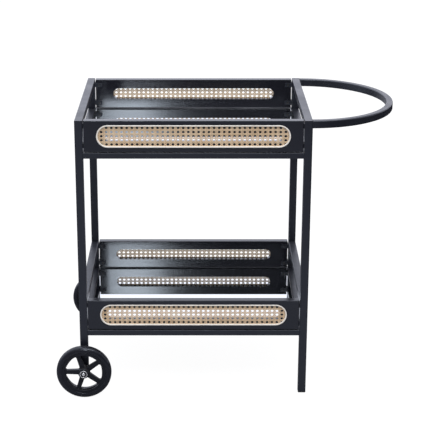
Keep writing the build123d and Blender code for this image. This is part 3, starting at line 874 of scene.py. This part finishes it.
@dataclass
class CaneInsert:
    """The woven cane in one panel: pairs of upright and level strands, and two ways of diagonals."""

    tier: Tier
    end: End
    pitch_along: float = 12.7 * MM
    pitch_up: float = 10.6 * MM
    pair_share: float = 0.13
    strand_width: float = 2.0 * MM
    diagonal_width: float = 1.75 * MM
    strand_thickness: float = 0.45 * MM
    pair_wave: float = 0.28 * MM
    diagonal_wave: float = 0.50 * MM
    edge_hidden: float = 1.2 * MM
    steps_per_pitch: int = 6
    uv_name: ClassVar[str] = "strand"

    def build(self, book: FinishBook) -> bpy.types.Object:
        """Weaves the insert, dresses it and puts it in the place of the CAD sheet.

        Args:
            book: The finishes.

        Returns:
            The woven piece.
        """
        node = f"{self.tier.value}_cane_{self.end.value}"
        low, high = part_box(node)
        self.middle = (low + high) / 2
        self.radius = (high.z - low.z) / 2 - self.edge_hidden
        self.core = (high.x - low.x) / 2 - (high.z - low.z) / 2
        self.verts: list[tuple[float, float, float]] = []
        self.faces: list[tuple[int, ...]] = []
        self.uvs: list[Point2] = []
        self.rng = random.Random(f"{node} strands")
        self._weave()
        mesh = bpy.data.meshes.new(f"{node}_weave")
        mesh.from_pydata(self.verts, [], self.faces)
        layer = mesh.uv_layers.new(name=self.uv_name)
        for loop in mesh.loops:
            layer.data[loop.index].uv = self.uvs[loop.vertex_index]
        mesh.shade_smooth()
        mesh.set_sharp_from_angle(angle=math.radians(70))
        piece = link_piece(f"{node}_weave", mesh)
        book.dress(piece, Slot.CANE.value)
        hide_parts(node)
        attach(piece, "cart")
        return piece

    def _weave(self) -> None:
        """Lays every strand of the four directions."""
        along, up, share = self.pitch_along, self.pitch_up, self.pair_share
        columns = math.ceil((self.core + self.radius) / along)
        rows = math.ceil(self.radius / up)
        turn = 2 * math.pi
        for column in range(-columns, columns):
            for sign in (-1, 1):
                u = (column + 0.5 + sign * share) * along

                def height(_u: float, v: float, sign: int = sign) -> float:
                    """Gives how far an upright strand stands out."""
                    return -sign * self.pair_wave * math.sin(turn * v / up)

                self._strand((u, 0.0), (0.0, 1.0), self.strand_width, up, height)
        for row in range(-rows, rows):
            for sign in (-1, 1):
                v = (row + 0.5 + sign * share) * up

                def height(u: float, _v: float, sign: int = sign) -> float:
                    """Gives how far a level strand stands out."""
                    return sign * self.pair_wave * math.sin(turn * u / along)

                self._strand((0.0, v), (1.0, 0.0), self.strand_width, along, height)
        slant = Vector((along, up)).normalized()
        reach = columns + rows
        for way in (-1, 1):

            def height(u: float, _v: float, way: int = way) -> float:
                """Gives how far a diagonal strand stands out."""
                return way * self.diagonal_wave * math.cos(turn * u / along)

            for line in range(-reach, reach):
                start = ((line + 0.5) * along, 0.0)
                direction = (slant.x, way * slant.y)
                self._strand(start, direction, self.diagonal_width, along / slant.x, height)

    def _inside(self, u: float, v: float) -> bool:
        """Tells whether a point lies in the insert's long shape with round ends."""
        past = max(0.0, abs(u) - self.core)
        return past * past + v * v <= self.radius * self.radius

    def _strand(
        self,
        start: Point2,
        direction: Point2,
        width: float,
        pitch: float,
        height: Callable[[float, float], float],
    ) -> None:
        """Lays one strand from edge to edge of the insert.

        Args:
            start: A point on its line, from the middle of the insert.
            direction: The way it runs, of length 1.
            width: How wide it is.
            pitch: The length in which it rises and dips once.
            height: Gives its height out of the sheet at a point.
        """
        step = pitch / self.steps_per_pitch
        limit = math.ceil((self.core + self.radius) * 2.2 / step)
        inside = [
            index
            for index in range(-limit, limit + 1)
            if self._inside(
                start[0] + direction[0] * index * step, start[1] + direction[1] * index * step
            )
        ]
        if len(inside) < 3:
            return
        across = (-direction[1], direction[0])
        wobble = self.rng.uniform(-0.12, 0.12) * MM
        own_width = width * self.rng.uniform(0.94, 1.06)
        tone = self.rng.uniform(0.0, 1.0)
        half, thick = own_width / 2, self.strand_thickness / 2
        section = (
            (-half, 0.0), (-half * 0.62, thick), (half * 0.62, thick),
            (half, 0.0), (half * 0.62, -thick), (-half * 0.62, -thick),
        )
        first = len(self.verts)
        count = len(section)
        for index in inside:
            reach = index * step
            u = start[0] + direction[0] * reach + across[0] * wobble
            v = start[1] + direction[1] * reach + across[1] * wobble
            rise = height(u, v)
            for side, out in section:
                x = self.middle.x + u + across[0] * side
                z = self.middle.z + v + across[1] * side
                y = self.middle.y + self.end.outward * (rise + out)
                self.verts.append((x, y, z))
                self.uvs.append((reach + tone, side + tone * 7.0))
        for ring in range(len(inside) - 1):
            base = first + ring * count
            for corner in range(count):
                after = (corner + 1) % count
                quad = (base + corner, base + after, base + count + after, base + count + corner)
                self.faces.append(quad)
        last = first + (len(inside) - 1) * count
        self.faces.append(tuple(first + corner for corner in range(count)))
        self.faces.append(tuple(last + corner for corner in reversed(range(count))))


@dataclass
class Tray(SubAssembly):
    """One tray: its panels, brackets, mirror, board and cross bars, and two woven inserts."""

    tier: Tier

    def nodes(self) -> list[str]:
        """Names the tray's CAD nodes."""
        ends = [f"{kind}_{end.value}" for kind in ("panel", "cane", "cane_trim") for end in End]
        return [
            f"{self.tier.value}_{name}"
            for name in (*ends, "mirror", "tray_board", "cross_bars", "panel_brackets")
        ]

    def pieces(self, book: FinishBook) -> list[bpy.types.Object]:
        """Weaves the front and the rear insert.

        Args:
            book: The finishes.

        Returns:
            The new pieces.
        """
        return [CaneInsert(self.tier, end).build(book) for end in End]


@dataclass
class Wheel(SubAssembly):
    """One wheel: a moulded rim with five spokes and a rubber tyre with a ribbed side."""

    end: End
    steps: int = 120
    rim_rounding: float = 0.9 * MM
    rim_crease: float = 50.0
    tread_half: tuple[Point2, ...] = (
        (0.0, 71.5), (1.7, 71.5), (2.1, 70.8), (2.9, 70.8), (3.3, 71.45), (5.2, 71.2), (7.4, 70.2),
        (9.3, 68.4), (10.8, 66.0), (11.6, 63.5), (12.0, 61.4), (11.95, 60.6), (11.45, 60.3),
        (11.35, 59.6), (11.75, 59.3), (11.7, 58.1), (11.25, 57.2), (10.6, 56.7), (9.0, 56.55),
        (9.0, 53.55),
    )

    def nodes(self) -> list[str]:
        """Names the wheel's and its axle's CAD nodes."""
        kinds = ("wheel_rim", "tyre", "hub_bush", "axle_bolt", "axle_washer", "axle_nut", "axle_spacer",
                 "axle_sleeve")
        return [f"{kind}_{self.end.value}" for kind in kinds]

    def pieces(self, book: FinishBook) -> list[bpy.types.Object]:
        """Builds the tyre and the rim round the CAD axle.

        Args:
            book: The finishes.

        Returns:
            The new pieces.
        """
        low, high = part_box(f"tyre_{self.end.value}")
        centre = (low + high) / 2
        half = [(along * MM, radius * MM) for along, radius in self.tread_half]
        profile = half + [(-along, radius) for along, radius in reversed(half) if along > 0]
        tyre = lathe(f"tyre_{self.end.value}_moulded", profile, centre, self.steps, 40.0)
        rim = rounded_copy(
            f"wheel_rim_{self.end.value}_moulded",
            f"wheel_rim_{self.end.value}",
            self.rim_rounding,
            self.rim_crease,
        )
        body = f"{self.end.value}_wheel"
        for piece, slot, node in ((tyre, Slot.TYRE, "tyre"), (rim, Slot.RIM, "wheel_rim")):
            book.dress(piece, slot.value)
            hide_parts(f"{node}_{self.end.value}")
            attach(piece, body)
        return [tyre, rim]


@dataclass(frozen=True)
class Lamp:
    """A softbox that looks at the middle of the cart: its place, size and power in watts."""

    name: str
    place: Point3
    size: Point2
    power: float


@dataclass
class Studio:
    """The floor, the lights and the camera."""

    lens: float = 108.9
    camera_distance: float = 3.094
    camera_height: float = 1.589
    camera_tilt: float = 72.44
    shift_right: float = 0.05
    shift_up: float = -0.10
    floor_size: float = 40.0
    floor_paint: Rgb = (0.92, 0.92, 0.92)
    floor_glow: float = 0.88
    glow_strength: float = 1.08
    floor_ahead: Point2 = (-1.0, -2.4)
    floor_aside: Point2 = (0.40, 0.72)
    floor_near: Rgb = (0.34, 0.34, 0.35)
    floor_far: Rgb = (0.24, 0.24, 0.25)
    floor_right: Rgb = (0.02, 0.02, 0.023)
    air_rear_left: Rgb = (1.44, 1.48, 1.66)
    air_rear_right: Rgb = (1.25, 1.25, 1.38)
    air_front: Rgb = (0.25, 0.25, 0.26)
    air_front_right: Rgb = (0.10, 0.10, 0.11)
    air_across: Point2 = (-0.5, 0.5)
    air_aside: Point2 = (0.1, 0.7)
    air_depth: Point2 = (-0.9, 0.3)
    lamps: tuple[Lamp, ...] = (
        Lamp("window_strip", (-0.44, -3.45, 1.82), (0.32, 0.7), 12.0),
        Lamp("front_softbox", (0.3, -2.4, 3.4), (2.4, 1.4), 70.0),
        Lamp("top_softbox", (0.0, 0.6, 3.2), (3.0, 3.0), 30.0),
    )

    def build(self) -> None:
        """Makes the floor, the surroundings, the lights and the camera."""
        left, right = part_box("leg_front_left"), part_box("leg_front_right")
        self.middle_x = (left[0].x + right[1].x) / 2
        self.front_y = left[0].y
        self._make_floor()
        self._make_world()
        for lamp in self.lamps:
            self._make_light(lamp)
        self._make_camera()
        bpy.context.scene.view_settings.view_transform = "Standard"

    def _make_floor(self) -> None:
        """Lays a plain pale floor under the cart."""
        half = self.floor_size / 2
        mesh = bpy.data.meshes.new("studio_floor")
        corners = [(-half, -half, 0.0), (half, -half, 0.0), (half, half, 0.0), (-half, half, 0.0)]
        mesh.from_pydata(corners, [], [(0, 1, 2, 3)])
        floor = link_piece("studio_floor", mesh)
        paint = bpy.data.materials.new("studio_white")
        paint.use_nodes = True
        paint.node_tree.nodes.clear()
        sheet = NodeSheet(paint.node_tree)
        matt = sheet.add("ShaderNodeBsdfDiffuse", Color=(*self.floor_paint, 1.0))
        glow = sheet.add(
            "ShaderNodeEmission", Color=(1.0, 1.0, 1.0, 1.0), Strength=self.glow_strength
        )
        seen = self._mix(sheet, self.floor_glow, matt.outputs["BSDF"], glow.outputs["Emission"])
        place = sheet.add("ShaderNodeTexCoord").outputs["Object"]
        spot = sheet.add("ShaderNodeSeparateXYZ", Vector=place)
        ahead = sheet.span(spot.outputs["Y"], *self.floor_ahead)
        aside = sheet.span(spot.outputs["X"], *self.floor_aside)
        lengthwise = sheet.blend(ahead, self.floor_near, self.floor_far)
        shade = sheet.blend(aside, lengthwise, self.floor_right)
        dim = sheet.add("ShaderNodeBsdfDiffuse", Color=shade)
        direct = sheet.add("ShaderNodeLightPath").outputs["Is Camera Ray"]
        output = sheet.add("ShaderNodeOutputMaterial")
        sheet.set_input(output.inputs["Surface"], self._mix(sheet, direct, dim.outputs["BSDF"], seen))
        mesh.materials.append(paint)

    @staticmethod
    def _mix(sheet: NodeSheet, factor: object, first: object, second: object) -> bpy.types.NodeSocket:
        """Mixes two shaders by a factor.

        Args:
            sheet: The sheet of the material or the world.
            factor: 0 gives the first shader and 1 the second.
            first: The first shader's socket.
            second: The second shader's socket.

        Returns:
            The socket with the mixed shader.
        """
        node = sheet.add("ShaderNodeMixShader")
        for index, value in enumerate((factor, first, second)):
            sheet.set_input(node.inputs[index], value)
        return node.outputs["Shader"]

    def _make_world(self) -> None:
        """Surrounds the cart with soft light: cool and bright behind it, dim in front of it."""
        world = bpy.data.worlds.new("studio_air")
        bpy.context.scene.world = world
        world.use_nodes = True
        world.node_tree.nodes.clear()
        sheet = NodeSheet(world.node_tree)
        facing = sheet.add("ShaderNodeTexCoord").outputs["Generated"]
        way = sheet.add("ShaderNodeSeparateXYZ", Vector=facing)
        across = sheet.span(way.outputs["X"], *self.air_across)
        behind = sheet.blend(across, self.air_rear_left, self.air_rear_right)
        aside = sheet.span(way.outputs["X"], *self.air_aside)
        before = sheet.blend(aside, self.air_front, self.air_front_right)
        air = sheet.blend(sheet.span(way.outputs["Y"], *self.air_depth), before, behind)
        lit = sheet.add("ShaderNodeBackground", Color=air, Strength=1.0)
        plain = sheet.add("ShaderNodeBackground", Color=(1.0, 1.0, 1.0, 1.0), Strength=1.0)
        direct = sheet.add("ShaderNodeLightPath").outputs["Is Camera Ray"]
        mixed = self._mix(sheet, direct, lit.outputs["Background"], plain.outputs["Background"])
        output = sheet.add("ShaderNodeOutputWorld")
        sheet.set_input(output.inputs["Surface"], mixed)

    @staticmethod
    def _make_light(lamp: Lamp) -> None:
        """Hangs one softbox.

        Args:
            lamp: The softbox.
        """
        light = bpy.data.lights.new(lamp.name, "AREA")
        light.shape = "RECTANGLE"
        light.size, light.size_y = lamp.size
        light.energy = lamp.power
        holder = bpy.data.objects.new(lamp.name, light)
        bpy.context.scene.collection.objects.link(holder)
        holder.location = lamp.place
        low, high = CAD_BOX
        aim = (low + high) / 2 - Vector(lamp.place)
        holder.rotation_euler = aim.to_track_quat("-Z", "Y").to_euler()
        holder.visible_camera = False

    def _make_camera(self) -> None:
        """Stands the camera in front of the cart, a little above it."""
        lens = bpy.data.cameras.new("front_camera")
        lens.lens = self.lens
        lens.sensor_width = 36.0
        lens.shift_x = self.shift_right
        lens.shift_y = self.shift_up
        lens.clip_start, lens.clip_end = 0.05, 100.0
        camera = bpy.data.objects.new("front_camera", lens)
        bpy.context.scene.collection.objects.link(camera)
        camera.location = (self.middle_x, self.front_y - self.camera_distance, self.camera_height)
        camera.rotation_euler = (math.radians(self.camera_tilt), 0.0, 0.0)
        bpy.context.scene.camera = camera


def main() -> None:
    """Builds the cart's looks in order."""
    logging.basicConfig(level=logging.INFO, format="%(name)s: %(message)s")
    book = FinishBook(EffectLibrary())
    trays = [Tray(tier) for tier in Tier]
    wheels = [Wheel(end) for end in End]
    for group in (TubeFrame(), HandleLoop(), *trays, *wheels, Hardware()):
        group.build(book)
    Studio().build()
    log.info("size written")


if __name__ == "__main__":
    main()
